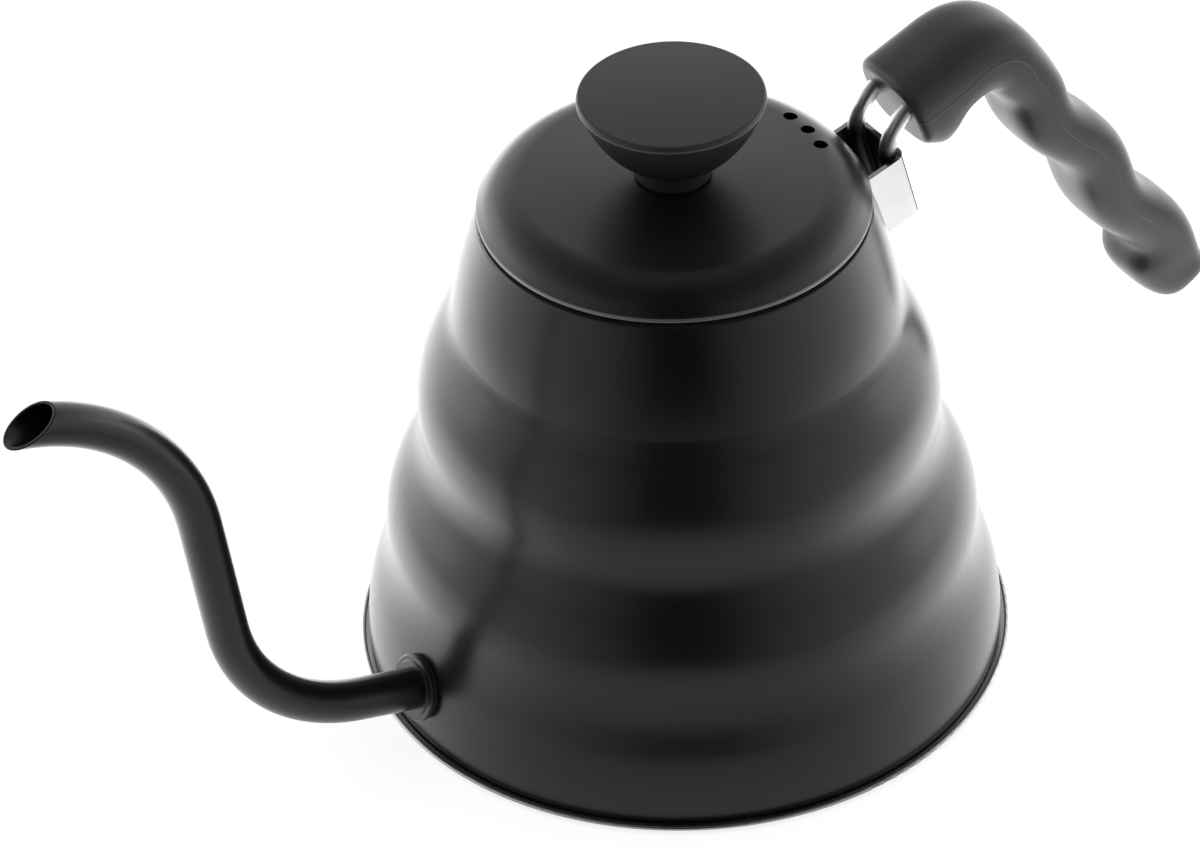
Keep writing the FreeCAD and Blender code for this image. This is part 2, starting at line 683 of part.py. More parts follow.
def make_knob():
    foot = LID_CROWN_HEIGHT + SPACER_THICKNESS
    neck = vec(KNOB_NECK_RADIUS, foot + KNOB_NECK_HEIGHT)
    rim = vec(KNOB_RADIUS, KNOB_RIM_HEIGHT)
    edge = vec(KNOB_RADIUS - KNOB_EDGE, KNOB_RIM_HEIGHT)
    under = edge + heading(-KNOB_EDGE_UNDER) * KNOB_EDGE
    top = vec(edge.x, KNOB_RIM_HEIGHT + KNOB_EDGE)
    crown = vec(0, top.z + KNOB_CROWN)
    flat = vec(KNOB_FLAT_RADIUS, crown.z)
    sink = (top.x ** 2 - flat.x ** 2) / (2 * KNOB_CROWN) - KNOB_CROWN / 2
    dome = vec(0, top.z - sink)
    bowl, bowl_radius = bulge_circle(neck, under, KNOB_BOWL)
    edges = [
        line(vec(0, foot), vec(KNOB_NECK_RADIUS, foot)),
        line(vec(KNOB_NECK_RADIUS, foot), neck),
        arc_on(bowl, bowl_radius, neck, under),
        arc_on(edge, KNOB_EDGE, under, rim),
        arc_on(edge, KNOB_EDGE, rim, top),
        arc_on(dome, dome.distanceToPoint(top), top, flat),
        line(flat, crown),
        line(crown, vec(0, foot)),
    ]
    knob = turned(edges)
    return knob.cut(cylinder(SCREW_DIAMETER / 2 + INSERT_WALL, INSERT_LENGTH, vec(0, foot), Z_AXIS))


def make_knob_fixing():
    foot = LID_CROWN_HEIGHT + SPACER_THICKNESS
    hole = SCREW_DIAMETER / 2
    spacer = tube(KNOB_NECK_RADIUS - SPACER_INSET, hole, SPACER_THICKNESS, vec(0, LID_CROWN_HEIGHT), Z_AXIS)
    insert = tube(hole + INSERT_WALL, hole, INSERT_LENGTH, vec(0, foot), Z_AXIS)
    washer_low = CROWN_UNDER - WASHER_THICKNESS
    washer = tube(hole + WASHER_WIDTH, hole, WASHER_THICKNESS, vec(0, washer_low), Z_AXIS)
    head_low = washer_low - SCREW_HEAD_HEIGHT
    head = cylinder(hole + SCREW_HEAD_WIDTH, SCREW_HEAD_HEIGHT, vec(0, head_low), Z_AXIS)
    rim = [e for e in head.Edges if e.Closed and on_plane(e, vec(0, head_low), Z_AXIS)]
    head = head.makeFillet(SCREW_HEAD_HEIGHT / 2, rim)
    length = foot + INSERT_LENGTH - washer_low
    screw = head.fuse(cylinder(hole, length, vec(0, washer_low), Z_AXIS)).removeSplitter()
    for size in ((SCREW_RECESS_LENGTH, SCREW_RECESS_WIDTH), (SCREW_RECESS_WIDTH, SCREW_RECESS_LENGTH)):
        corner = FreeCAD.Vector(-size[0] / 2, -size[1] / 2, head_low)
        screw = screw.cut(Part.makeBox(size[0], size[1], SCREW_RECESS_DEPTH, corner))
    return spacer, insert, washer, screw


def main():
    seal, collar, lock_ring = make_spout_fixing()
    spout = make_spout_tube()
    hole = cylinder(SPOUT_OUTER / 2, SPOUT_RUN, ROOT - ROOT_AXIS * SPOUT_RUN / 2, ROOT_AXIS)
    body = make_body_shell().cut(hole)
    upper, lower = make_grip()
    lid = make_lid_shell()
    spacer, insert, washer, screw = make_knob_fixing()
    nodes = {
        "body_shell": body,
        "base_plate": make_base_plate(),
        "spout_tube": spout,
        "spout_seal": seal,
        "spout_collar": collar,
        "spout_lock_ring": lock_ring,
        "handle_bracket": make_handle_bracket(),
        "handle_rod_left": make_rod(1),
        "handle_rod_right": make_rod(-1),
        "rod_tie_bar": make_rod_tie(),
        "grip_upper": upper,
        "grip_lower": lower,
        "lid_shell": lid,
        "lid_ring": make_lid_ring(lid),
        "lid_knob": make_knob(),
        "knob_spacer": spacer,
        "knob_insert": insert,
        "knob_washer": washer,
        "knob_screw": screw,
    }
    os.makedirs("parts", exist_ok=True)
    for name, shape in nodes.items():
        shape.exportStep("parts/" + name + ".step")
        box = shape.BoundBox
        print(name, len(shape.Solids), shape.isValid(), round(shape.Volume, 1), box)


main()
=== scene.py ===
"""Dresses the gooseneck kettle.

Satin black vessel, spout and lid, polished handle frame, moulded grip and knob.
"""

import logging
import math
from dataclasses import dataclass
from enum import Enum
from typing import Any

import bmesh
import bpy
from mathutils import Matrix, Vector


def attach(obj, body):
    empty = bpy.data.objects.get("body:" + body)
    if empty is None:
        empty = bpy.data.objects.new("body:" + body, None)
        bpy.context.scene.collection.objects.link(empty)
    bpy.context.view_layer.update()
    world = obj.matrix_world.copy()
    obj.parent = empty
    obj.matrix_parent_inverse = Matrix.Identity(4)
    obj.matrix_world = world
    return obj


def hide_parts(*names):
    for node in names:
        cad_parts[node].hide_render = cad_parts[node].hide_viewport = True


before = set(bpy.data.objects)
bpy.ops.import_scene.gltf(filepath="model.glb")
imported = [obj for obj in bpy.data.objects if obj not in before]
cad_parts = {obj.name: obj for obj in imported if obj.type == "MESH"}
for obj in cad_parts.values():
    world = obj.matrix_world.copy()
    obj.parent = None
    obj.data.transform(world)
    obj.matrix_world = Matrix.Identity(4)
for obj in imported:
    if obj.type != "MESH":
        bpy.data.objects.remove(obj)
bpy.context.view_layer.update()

LOG = logging.getLogger("kettle")
UNDERSIDE_RADIUS = 0.0408
UNDERSIDE_FADE = 0.0004
WELD_DISTANCE = 1e-6
# Cosines between which a face begins to count as facing down, or toward the axis, and fully does.
FACES_DOWN = (-0.35, -0.6)
FACES_AXIS = (-0.05, -0.2)
Colour = tuple[float, float, float]
Range = tuple[float, float]


class Body(Enum):
    """The two bodies of the part."""

    KETTLE = "kettle"
    LID = "lid"


class NodeBench:
    """Adds and joins nodes in one node tree."""

    def __init__(self, tree: bpy.types.NodeTree) -> None:
        """Starts with an empty tree."""
        self.tree = tree
        self.tree.nodes.clear()

    def add(self, kind: str, inputs: dict[Any, Any] | None = None, **settings: Any) -> bpy.types.Node:
        """Adds a node.

        Args:
            kind: the node's type name.
            inputs: values or output sockets for its inputs, by socket name or number.
            settings: the node's own properties.

        Returns:
            The new node.
        """
        node = self.tree.nodes.new(kind)
        for name, value in settings.items():
            setattr(node, name, value)
        for key, value in (inputs or {}).items():
            if isinstance(value, bpy.types.NodeSocket):
                self.tree.links.new(value, node.inputs[key])
            else:
                node.inputs[key].default_value = value
        return node

    def math(self, operation: str, *values: Any, clamp: bool = False) -> bpy.types.NodeSocket:
        """Adds a Math node and returns its output."""
        inputs = dict(enumerate(values))
        return self.add("ShaderNodeMath", inputs, operation=operation, use_clamp=clamp).outputs[0]

    def vector_math(self, operation: str, *values: Any) -> bpy.types.NodeSocket:
        """Adds a Vector Math node and returns its vector, or its value where it has only that."""
        node = self.add("ShaderNodeVectorMath", dict(enumerate(values)), operation=operation)
        return node.outputs["Value" if operation in ("DOT_PRODUCT", "LENGTH") else "Vector"]

    def along(self, vector: Any, axis: str) -> bpy.types.NodeSocket:
        """Takes a vector's X, Y or Z and returns the output."""
        return self.add("ShaderNodeSeparateXYZ", {0: vector}).outputs[axis]

    def level(self, vector: Any) -> bpy.types.NodeSocket:
        """Drops a vector's height and returns the output."""
        return self.vector_math("MULTIPLY", vector, (1.0, 1.0, 0.0))

    def bearing(self, vector: Any) -> bpy.types.NodeSocket:
        """Finds the level unit vector along a place or direction and returns the output."""
        return self.vector_math("NORMALIZE", self.level(vector))

    def axis_distance(self, place: Any) -> bpy.types.NodeSocket:
        """Measures how far a place is from the kettle's axis and returns the output."""
        return self.vector_math("LENGTH", self.level(place))

    def facing(self) -> bpy.types.NodeSocket:
        """Adds the surface's normal and returns it."""
        return self.add("ShaderNodeNewGeometry").outputs["Normal"]

    def span(
        self, value: Any, low: float, high: float, to_low: float = 0.0, to_high: float = 1.0
    ) -> bpy.types.NodeSocket:
        """Maps low..high smoothly to to_low..to_high, held at both ends, and returns the output."""
        inputs = {"Value": value, "From Min": low, "From Max": high, "To Min": to_low, "To Max": to_high}
        return self.add("ShaderNodeMapRange", inputs, interpolation_type="SMOOTHSTEP").outputs["Result"]

    def blend(self, factor: Any, first: Any, second: Any) -> bpy.types.NodeSocket:
        """Mixes two colours and returns the output."""
        # The Mix node's inputs for values and for colours share their names, so they go by number.
        inputs = {"Factor": factor, 6: first, 7: second}
        return self.add("ShaderNodeMix", inputs, data_type="RGBA").outputs[2]

    def between(self, factor: Any, first: Any, second: Any) -> bpy.types.NodeSocket:
        """Mixes two values and returns the output."""
        return self.add("ShaderNodeMix", {"Factor": factor, 2: first, 3: second}).outputs[0]

    def noise(self, vector: Any, scale: float, detail: float = 2.0) -> bpy.types.NodeSocket:
        """Adds a noise texture and returns its value."""
        inputs = {"Vector": vector, "Scale": scale, "Detail": detail}
        return self.add("ShaderNodeTexNoise", inputs).outputs["Fac"]


def opaque(colour: Colour, share: float = 1.0) -> tuple[float, float, float, float]:
    """The colour, made darker or lighter by a share, with full alpha."""
    return (*(value * share for value in colour), 1.0)


def about(middle: float, spread: float) -> Range:
    """The range that lies this far to either side of a value."""
    return (middle - spread, middle + spread)


class Effect:
    """A shader node group that several finishes share, built once.

    A subclass names the group and its sockets and fills it with nodes.
    """

    title: str = ""
    takes: dict[str, str] = {}
    gives: tuple[str, ...] = ()

    @classmethod
    def fill(cls, bench: NodeBench, given: bpy.types.Node) -> dict[str, bpy.types.NodeSocket]:
        """Adds the group's nodes.

        Args:
            bench: the group's own node bench.
            given: the node that holds the group's inputs.

        Returns:
            The socket for each output, by its name.
        """
        raise NotImplementedError

    @classmethod
    def tree(cls) -> bpy.types.NodeTree:
        """Finds the group's node tree, or makes it on first use.

        Returns:
            The tree.
        """
        found = bpy.data.node_groups.get(cls.title)
        if found:
            return found
        tree = bpy.data.node_groups.new(cls.title, "ShaderNodeTree")
        for name, kind in cls.takes.items():
            tree.interface.new_socket(name, in_out="INPUT", socket_type=kind)
        for name in cls.gives:
            tree.interface.new_socket(name, in_out="OUTPUT", socket_type="NodeSocketFloat")
        bench = NodeBench(tree)
        given = bench.add("NodeGroupInput")
        bench.add("NodeGroupOutput", cls.fill(bench, given))
        return tree

    @classmethod
    def place(cls, bench: NodeBench, inputs: dict[str, Any]) -> bpy.types.Node:
        """Adds the group to a material and returns its node."""
        return bench.add("ShaderNodeGroup", inputs, node_tree=cls.tree())


class CoatGrain(Effect):
    """The fine orange peel of a sprayed and baked coat, and the slow drift of its gloss."""

    title = "coat_grain"
    middle_scale = 0.3
    broad_scale = 0.012
    fine_share = 0.55
    middle_share = 0.45
    takes = {"Vector": "NodeSocketVector", "Size": "NodeSocketFloat"}
    gives = ("Height", "Drift")

    @classmethod
    def fill(cls, bench: NodeBench, given: bpy.types.Node) -> dict[str, bpy.types.NodeSocket]:
        """Adds fine, middle and broad noise.

        Args:
            bench: the group's own node bench.
            given: the node that holds the group's inputs.

        Returns:
            The grain's height, and the drift of the gloss.
        """
        vector = given.outputs["Vector"]
        scale = bench.math("DIVIDE", 1.0, given.outputs["Size"])
        fine = bench.noise(vector, scale)
        middle = bench.noise(vector, bench.math("MULTIPLY", scale, cls.middle_scale))
        broad = bench.noise(vector, bench.math("MULTIPLY", scale, cls.broad_scale), detail=3.0)
        fine_part = bench.math("MULTIPLY", fine, cls.fine_share)
        middle_part = bench.math("MULTIPLY", middle, cls.middle_share)
        return {"Height": bench.math("ADD", fine_part, middle_part), "Drift": broad}


class MouldGrain(Effect):
    """The spark-eroded grain that a mould leaves on matte plastic."""

    title = "mould_grain"
    fine_scale = 1.7
    broad_scale = 0.015
    fine_share = 0.4
    takes = {"Vector": "NodeSocketVector", "Size": "NodeSocketFloat"}
    gives = ("Height", "Drift")

    @classmethod
    def fill(cls, bench: NodeBench, given: bpy.types.Node) -> dict[str, bpy.types.NodeSocket]:
        """Adds pitted cells over fine noise.

        Args:
            bench: the group's own node bench.
            given: the node that holds the group's inputs.

        Returns:
            The grain's height, and the drift of the gloss.
        """
        vector = given.outputs["Vector"]
        scale = bench.math("DIVIDE", 1.0, given.outputs["Size"])
        cells = bench.add("ShaderNodeTexVoronoi", {"Vector": vector, "Scale": scale}, feature="SMOOTH_F1")
        fine = bench.noise(vector, bench.math("MULTIPLY", scale, cls.fine_scale))
        broad = bench.noise(vector, bench.math("MULTIPLY", scale, cls.broad_scale), detail=3.0)
        height = bench.math("ADD", cells.outputs["Distance"], bench.math("MULTIPLY", fine, cls.fine_share))
        return {"Height": height, "Drift": broad}


class EdgeWear(Effect):
    """Where handling has thinned or polished a finish: broken patches along convex edges."""

    title = "edge_wear"
    edge_range = (0.985, 0.80)
    patch_range = (0.42, 0.66)
    takes = {"Vector": "NodeSocketVector", "Width": "NodeSocketFloat", "Patch": "NodeSocketFloat"}
    gives = ("Mask",)

    @classmethod
    def fill(cls, bench: NodeBench, given: bpy.types.Node) -> dict[str, bpy.types.NodeSocket]:
        """Compares the true normal with a rounded one, and breaks the result up.

        Args:
            bench: the group's own node bench.
            given: the node that holds the group's inputs.

        Returns:
            The mask, which is 1 where an edge is worn.
        """
        rounded = bench.add("ShaderNodeBevel", {"Radius": given.outputs["Width"]}, samples=6)
        match = bench.vector_math("DOT_PRODUCT", rounded.outputs["Normal"], bench.facing())
        edge = bench.span(match, *cls.edge_range)
        scale = bench.math("DIVIDE", 1.0, given.outputs["Patch"])
        patches = bench.span(bench.noise(given.outputs["Vector"], scale, detail=4.0), *cls.patch_range)
        return {"Mask": bench.math("MULTIPLY", edge, patches, clamp=True)}


class RimHighlight(Effect):
    """A painted highlight: a round piece's outermost rim turned to bare steel to show a bright line."""

    title = "rim_highlight"
    starts = 0.00034
    full = 0.00014
    patch_scale = 90.0
    patch_range = (0.3, 0.7)
    least = 0.7
    takes = {"Vector": "NodeSocketVector", "Radius": "NodeSocketFloat"}
    gives = ("Mask",)

    @classmethod
    def fill(cls, bench: NodeBench, given: bpy.types.Node) -> dict[str, bpy.types.NodeSocket]:
        """Compares the distance from the kettle's axis with the rim's.

        Args:
            bench: the group's own node bench.
            given: the node that holds the group's inputs.

        Returns:
            The mask, which is 1 where the rim carries the painted highlight.
        """
        vector = given.outputs["Vector"]
        inside = bench.math("SUBTRACT", given.outputs["Radius"], bench.axis_distance(vector))
        patches = bench.noise(vector, cls.patch_scale, detail=3.0)
        uneven = bench.span(patches, *cls.patch_range, to_low=cls.least)
        return {"Mask": bench.math("MULTIPLY", bench.span(inside, cls.starts, cls.full), uneven)}


class TurnedLines(Effect):
    """Fine rings about the kettle's axis, as spinning and turning leave in sheet metal."""

    title = "turned_lines"
    broken_scale = 0.02
    broken_range = (0.3, 0.7)
    least = 0.6
    takes = {"Vector": "NodeSocketVector", "Pitch": "NodeSocketFloat"}
    gives = ("Height", "Streak")

    @classmethod
    def fill(cls, bench: NodeBench, given: bpy.types.Node) -> dict[str, bpy.types.NodeSocket]:
        """Reads noise by radius and height alone, so that it runs in rings.

        Args:
            bench: the group's own node bench.
            given: the node that holds the group's inputs.

        Returns:
            The lines' height, and their broken streaks.
        """
        vector = given.outputs["Vector"]
        turned = {0: bench.axis_distance(vector), 1: bench.along(vector, "Z")}
        rings = bench.add("ShaderNodeCombineXYZ", turned)
        scale = bench.math("DIVIDE", 1.0, given.outputs["Pitch"])
        fine = bench.noise(rings.outputs[0], scale, detail=3.0)
        broken = bench.noise(vector, bench.math("MULTIPLY", scale, cls.broken_scale))
        streak = bench.math("MULTIPLY", fine, bench.span(broken, *cls.broken_range, to_low=cls.least))
        return {"Height": fine, "Streak": streak}


class HandlingMarks(Effect):
    """Hairline scratches and the faint film that a cloth leaves on a polished surface."""

    title = "handling_marks"
    # The turn and the stretch of each set of hairlines.
    hairlines = (
        ((0.5, 0.3, 0.85), (60.0, 900.0, 4200.0)),
        ((-0.9, -0.54, -1.53), (4600.0, 80.0, 1000.0)),
    )
    hairline_range = (0.64, 0.74)
    film_scale = 55.0
    takes = {"Vector": "NodeSocketVector"}
    gives = ("Scratch", "Film")

    @classmethod
    def fill(cls, bench: NodeBench, given: bpy.types.Node) -> dict[str, bpy.types.NodeSocket]:
        """Adds two sets of drawn-out noise and a broad film.

        Args:
            bench: the group's own node bench.
            given: the node that holds the group's inputs.

        Returns:
            The scratches and the film.
        """
        vector = given.outputs["Vector"]
        sets = []
        for turn, stretch in cls.hairlines:
            inputs = {"Vector": vector, "Rotation": turn, "Scale": stretch}
            mapped = bench.add("ShaderNodeMapping", inputs)
            drawn = bench.noise(mapped.outputs[0], 1.0, detail=1.0)
            sets.append(bench.span(drawn, *cls.hairline_range))
        scratch = bench.math("MAXIMUM", *sets)
        return {"Scratch": scratch, "Film": bench.noise(vector, cls.film_scale, detail=4.0)}


class BareFace(Enum):
    """Which faces of a coated sheet are left as bare steel."""

    NONE = "none"
    TOWARD_AXIS = "toward_axis"
    UNDERSIDE = "underside"

    def mask(self, bench: NodeBench, place: bpy.types.NodeSocket) -> bpy.types.NodeSocket:
        """Adds the nodes that find these faces.

        Args:
            bench: the material's node bench.
            place: the surface point about the kettle's axis.

        Returns:
            A socket that is 1 on bare faces and 0 on coated ones.
        """
        normal = bench.facing()
        if self is BareFace.UNDERSIDE:
            radius = bench.axis_distance(place)
            within = bench.span(radius, UNDERSIDE_RADIUS, UNDERSIDE_RADIUS - UNDERSIDE_FADE)
            return bench.math("MULTIPLY", bench.span(bench.along(normal, "Z"), *FACES_DOWN), within)
        outward = bench.vector_math("DOT_PRODUCT", normal, bench.bearing(place))
        return bench.span(outward, *FACES_AXIS)


@dataclass(frozen=True)
class Finish:
    """What every finish has: a title, its colour and how rough it is."""

    title: str
    colour: Colour
    roughness: float

    def shade(self, bench: NodeBench, place: bpy.types.NodeSocket, shader: bpy.types.Node) -> None:
        """Adds the finish's own nodes.

        Args:
            bench: the material's node bench.
            place: Object coordinates.
            shader: the Principled BSDF to feed.
        """
        raise NotImplementedError

    def material(self) -> bpy.types.Material:
        """Finds the finish's material, or makes it on first use.

        Returns:
            The material.
        """
        found = bpy.data.materials.get(self.title)
        if found:
            return found
        made = bpy.data.materials.new(self.title)
        made.use_nodes = True
        bench = NodeBench(made.node_tree)
        place = bench.add("ShaderNodeTexCoord").outputs["Object"]
        shader = bench.add("ShaderNodeBsdfPrincipled")
        bench.add("ShaderNodeOutputMaterial", {"Surface": shader.outputs[0]})
        self.shade(bench, place, shader)
        return made


def feed(bench: NodeBench, shader: bpy.types.Node, **sockets: Any) -> None:
    """Joins or sets the shader's inputs.

    Args:
        bench: the material's node bench.
        shader: the Principled BSDF to feed.
        sockets: values or output sockets, by input name with an underscore for each space.
    """
    for name, value in sockets.items():
        target = shader.inputs[name.replace("_", " ")]
        if isinstance(value, bpy.types.NodeSocket):
            bench.tree.links.new(value, target)
        else:
            target.default_value = value


def bumped(
    bench: NodeBench, height: bpy.types.NodeSocket, depth: float, strength: float
) -> bpy.types.NodeSocket:
    """A bump of this depth in metres; returns its normal."""
    inputs = {"Height": height, "Distance": depth, "Strength": strength}
    return bench.add("ShaderNodeBump", inputs).outputs["Normal"]


@dataclass(frozen=True)
class SatinCoat(Finish):
    """Satin black coat under a clear satin lacquer, baked on sheet steel, its edges a little thinned."""

    lacquer: float = 0.5
    lacquer_roughness: float = 0.25
    grain: float = 0.00045
    grain_depth: float = 0.00002
    grain_strength: float = 0.12
    wear: float = 0.16
    wear_width: float = 0.0006
    wear_patch: float = 0.004
    thinned: Colour = (0.05, 0.05, 0.052)
    deep: float = 0.86
    tone_range: Range = (0.35, 0.65)
    gloss_range: Range = (0.3, 0.7)
    gloss_spread: float = 0.025
    # The lid rim's painted highlight: the rim's radius, its strength and its steel colour.
    highlight_radius: float = 0.0
    rub_and_highlight: float = 0.85
    highlight_steel: Colour = (0.28, 0.28, 0.29)
    # Painted shade below the lid's rim and inside the bracket: the coat turns matte and unlacquered.
    painted_shade_above: float = 0.0
    painted_shade_fade: float = 0.0003
    painted_shade_roughness: float = 0.95
    channel_start: float = 0.04
    channel_half: float = 0.0083
    channel_depth: float = 0.018
    channel_fade: float = 0.0005
    bare_face: BareFace = BareFace.NONE
    steel: Colour = (0.52, 0.52, 0.53)
    steel_roughness: float = 0.28
    steel_spread: float = 0.08
    steel_pitch: float = 0.0006
    streak_range: Range = (0.2, 0.7)

    def shade(self, bench: NodeBench, place: bpy.types.NodeSocket, shader: bpy.types.Node) -> None:
        """Adds the coat, its worn edges, the bare faces, the painted shade and the painted rim highlight.

        Args:
            bench: the material's node bench.
            place: Object coordinates.
            shader: the Principled BSDF to feed.
        """
        grain = CoatGrain.place(bench, {"Vector": place, "Size": self.grain})
        drift = grain.outputs["Drift"]
        worn = EdgeWear.place(bench, {"Vector": place, "Width": self.wear_width, "Patch": self.wear_patch})
        thin = bench.math("MULTIPLY", worn.outputs["Mask"], self.wear)
        drifted = bench.span(drift, *self.tone_range)
        tone = bench.blend(drifted, opaque(self.colour, self.deep), opaque(self.colour))
        colour = bench.blend(thin, tone, opaque(self.thinned))
        gloss = bench.span(drift, *self.gloss_range, *about(self.roughness, self.gloss_spread))
        height = grain.outputs["Height"]
        lacquer: Any = self.lacquer
        metal: Any = 0.0
        # Painted shade: matte, unlacquered coat below the lid's rim and inside the bracket.
        if self.painted_shade_above:
            painted_shade = self.painted_shade(bench, place)
            gloss = bench.between(painted_shade, gloss, self.painted_shade_roughness)
            lacquer = bench.between(painted_shade, self.lacquer, 0.0)
        # Painted highlight: the lid's outermost rim turns to bare steel to show a bright line.
        if self.highlight_radius:
            rim = RimHighlight.place(bench, {"Vector": place, "Radius": self.highlight_radius})
            metal = bench.math("MULTIPLY", rim.outputs["Mask"], self.rub_and_highlight)
            colour = bench.blend(metal, colour, opaque(self.highlight_steel))
        if self.bare_face is not BareFace.NONE:
            bare = self.bare_face.mask(bench, place)
            lines = TurnedLines.place(bench, {"Vector": place, "Pitch": self.steel_pitch})
            colour = bench.blend(bare, colour, opaque(self.steel))
            spun_range = about(self.steel_roughness, self.steel_spread)
            spun = bench.span(lines.outputs["Streak"], *self.streak_range, *spun_range)
            gloss = bench.between(bare, gloss, spun)
            height = bench.between(bare, height, lines.outputs["Height"])
            lacquer = bench.between(bare, lacquer, 0.0)
            metal = bench.math("MAXIMUM", bare, metal)
        normal = bumped(bench, height, self.grain_depth, self.grain_strength)
        feed(bench, shader, Base_Color=colour, Metallic=metal, Roughness=gloss, Normal=normal)
        feed(bench, shader, Coat_Weight=lacquer, Coat_Roughness=self.lacquer_roughness)

    def painted_shade(self, bench: NodeBench, place: bpy.types.NodeSocket) -> bpy.types.NodeSocket:
        """Adds the nodes that find the painted shade below the lid's rim and inside the bracket's channel.

        Args:
            bench: the material's node bench.
            place: Object coordinates.

        Returns:
            A socket that is 1 where the coat is made matte and unlacquered as painted shade.
        """
        parts = bench.add("ShaderNodeSeparateXYZ", {0: place}).outputs
        foot = self.painted_shade_above - self.channel_depth
        seat = bench.span(parts["Z"], self.painted_shade_above - self.painted_shade_fade, self.painted_shade_above)
        beyond = bench.span(parts["X"], self.channel_start - self.channel_fade, self.channel_start)
        aside = bench.math("ABSOLUTE", parts["Y"])
        between = bench.span(aside, self.channel_half, self.channel_half - self.channel_fade)
        higher = bench.span(parts["Z"], foot - self.channel_fade, foot)
        channel = bench.math("MULTIPLY", bench.math("MULTIPLY", beyond, between), higher)
        return bench.math("MAXIMUM", seat, channel)


@dataclass(frozen=True)
class BareSteel(Finish):
    """Plain stainless sheet with turned lines and light handling."""

    pitch: float = 0.0005
    line_depth: float = 0.00001
    line_strength: float = 0.25
    dulled: float = 0.84
    streak_range: Range = (0.2, 0.7)
    gloss_spread: float = 0.07
    scratch_gloss: float = 0.06

    def shade(self, bench: NodeBench, place: bpy.types.NodeSocket, shader: bpy.types.Node) -> None:
        """Adds turned lines and marks.

        Args:
            bench: the material's node bench.
            place: Object coordinates.
            shader: the Principled BSDF to feed.
        """
        lines = TurnedLines.place(bench, {"Vector": place, "Pitch": self.pitch})
        marks = HandlingMarks.place(bench, {"Vector": place})
        streak = lines.outputs["Streak"]
        lined = bench.span(streak, *self.streak_range)
        colour = bench.blend(lined, opaque(self.colour), opaque(self.colour, self.dulled))
        rough = bench.span(streak, *self.streak_range, *about(self.roughness, self.gloss_spread))
        scratched = bench.math("MULTIPLY", marks.outputs["Scratch"], self.scratch_gloss)
        gloss = bench.math("ADD", rough, scratched)
        normal = bumped(bench, lines.outputs["Height"], self.line_depth, self.line_strength)
        feed(bench, shader, Base_Color=colour, Metallic=1.0, Roughness=gloss, Normal=normal)


@dataclass(frozen=True)
class PolishedSteel(Finish):
    """Polished stainless with a wiped film, hairline scratches and painted shade on faces in shadow."""

    scratch_depth: float = 0.000004
    scratch_strength: float = 0.3
    scratch_gloss: float = 0.12
    filmed: float = 0.9
    tone_range: Range = (0.35, 0.7)
    gloss_range: Range = (0.3, 0.7)
    film_gloss: float = 0.06
    # Painted shade on the bracket's inner faces and on the rods' lower ends, and how it runs.
    shade_inside: bool = False
    shade_below: float = 0.0
    shade_colour: Colour = (0.045, 0.044, 0.043)
    shade_roughness: float = 0.45
    shade_reach: float = 0.006
    shade_ragged: float = 0.004
    shade_scale: float = 300.0
    vessel_side: Range = (0.75, 0.25)
    cheek_range: Range = (-0.002, -0.005)
    web_range: Range = (-0.5, -0.8)

    def shade(self, bench: NodeBench, place: bpy.types.NodeSocket, shader: bpy.types.Node) -> None:
        """Adds the film and scratches, and the painted shade.

        Args:
            bench: the material's node bench.
            place: Object coordinates.
            shader: the Principled BSDF to feed.
        """
        marks = HandlingMarks.place(bench, {"Vector": place})
        film = marks.outputs["Film"]
        smeared = bench.span(film, *self.tone_range)
        colour = bench.blend(smeared, opaque(self.colour), opaque(self.colour, self.filmed))
        wiped = bench.span(film, *self.gloss_range, self.roughness, self.roughness + self.film_gloss)
        scratched = bench.math("MULTIPLY", marks.outputs["Scratch"], self.scratch_gloss)
        gloss = bench.math("ADD", wiped, scratched)
        # Painted shade: the bracket's inner faces and the rods' lower ends are coloured near black.
        if self.shade_inside or self.shade_below:
            dark = self.inside(bench, place) if self.shade_inside else self.lower_end(bench, place)
            colour = bench.blend(dark, colour, opaque(self.shade_colour))
            gloss = bench.between(dark, gloss, self.shade_roughness)
        normal = bumped(bench, marks.outputs["Scratch"], self.scratch_depth, self.scratch_strength)
        feed(bench, shader, Base_Color=colour, Metallic=1.0, Roughness=gloss, Normal=normal)

    def lower_end(self, bench: NodeBench, place: bpy.types.NodeSocket) -> bpy.types.NodeSocket:
        """Adds the nodes that find the painted shade on a rod's lower end, on the vessel's side.

        Args:
            bench: the material's node bench.
            place: Object coordinates.

        Returns:
            A socket that is 1 where the rod is dark.
        """
        ragged = bench.math("MULTIPLY", bench.noise(place, self.shade_scale), self.shade_ragged)
        height = bench.math("ADD", bench.along(place, "Z"), ragged)
        low = bench.span(height, self.shade_below + self.shade_reach, self.shade_below)
        inner = bench.span(bench.along(bench.facing(), "X"), *self.vessel_side)
        return bench.math("MULTIPLY", low, inner)

    def inside(self, bench: NodeBench, place: bpy.types.NodeSocket) -> bpy.types.NodeSocket:
        """Adds the nodes that find the faces inside the folded channel.

        Args:
            bench: the material's node bench.
            place: Object coordinates.

        Returns:
            A socket that is 1 on the inner faces, which carry painted shade.
        """
        facing = bench.facing()
        across = bench.vector_math("MULTIPLY", facing, (0.0, 1.0, 0.0))
        cheeks = bench.span(bench.vector_math("DOT_PRODUCT", across, place), *self.cheek_range)
        web = bench.span(bench.along(facing, "X"), *self.web_range)
        return bench.math("MAXIMUM", cheeks, web)


